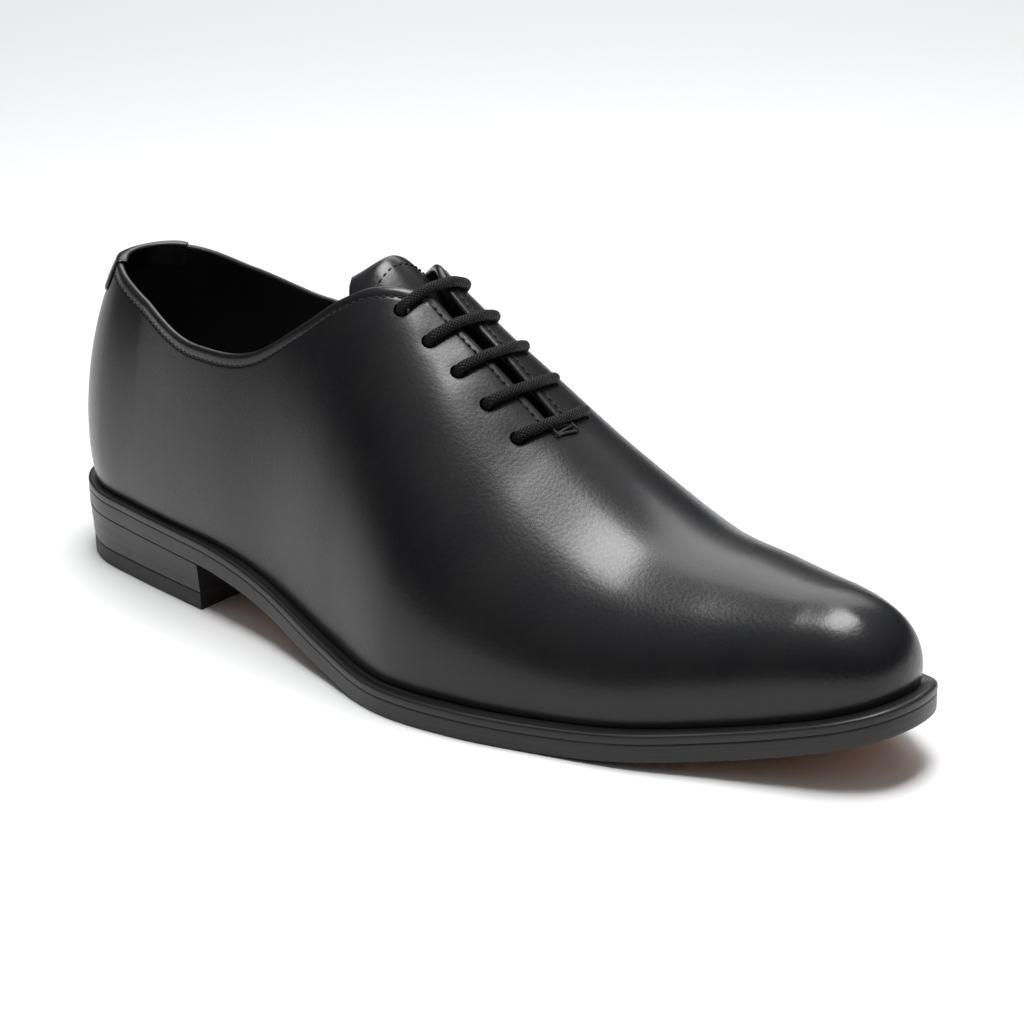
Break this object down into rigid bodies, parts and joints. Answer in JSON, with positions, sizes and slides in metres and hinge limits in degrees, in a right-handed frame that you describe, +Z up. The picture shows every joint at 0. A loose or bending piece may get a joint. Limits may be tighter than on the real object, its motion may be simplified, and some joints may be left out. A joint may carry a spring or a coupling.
{
  "type": "dress shoe",
  "caption": "Plain one-piece lace-up dress shoe for the right foot: smooth leather upper, stitched welt, leather sole and low stacked heel.",
  "frame": {"origin": "middle of the footprint of the whole shoe, on the plane that the heel and the forefoot stand on", "axes": "+X to the toe, +Y to the inner (medial) side of the right foot, +Z up"},
  "size_m": [0.3, 0.1078, 0.1097],
  "materials": {
    "calf_leather": "smooth polished calf, satin gloss, very fine grain",
    "sock_leather": "matt lining leather",
    "dressed_edge": "black edge dressing, satin, fine lines along the edge",
    "sole_leather": "natural sole leather, half matt",
    "heel_rubber": "matt black rubber",
    "waxed_lace": "round waxed cotton cord, half matt"
  },
  "bodies": {
    "root": {"upper": "calf_leather", "tongue": "calf_leather", "heel_tab": "calf_leather", "insole": "sock_leather", "welt": "dressed_edge", "heel_stack": "dressed_edge", "outsole": "sole_leather", "heel_top_piece": "heel_rubber", "lace_bar_1": "waxed_lace", "lace_bar_2": "waxed_lace", "lace_bar_3": "waxed_lace", "lace_bar_4": "waxed_lace", "lace_bar_5": "waxed_lace"}
  },
  "joints": []
}
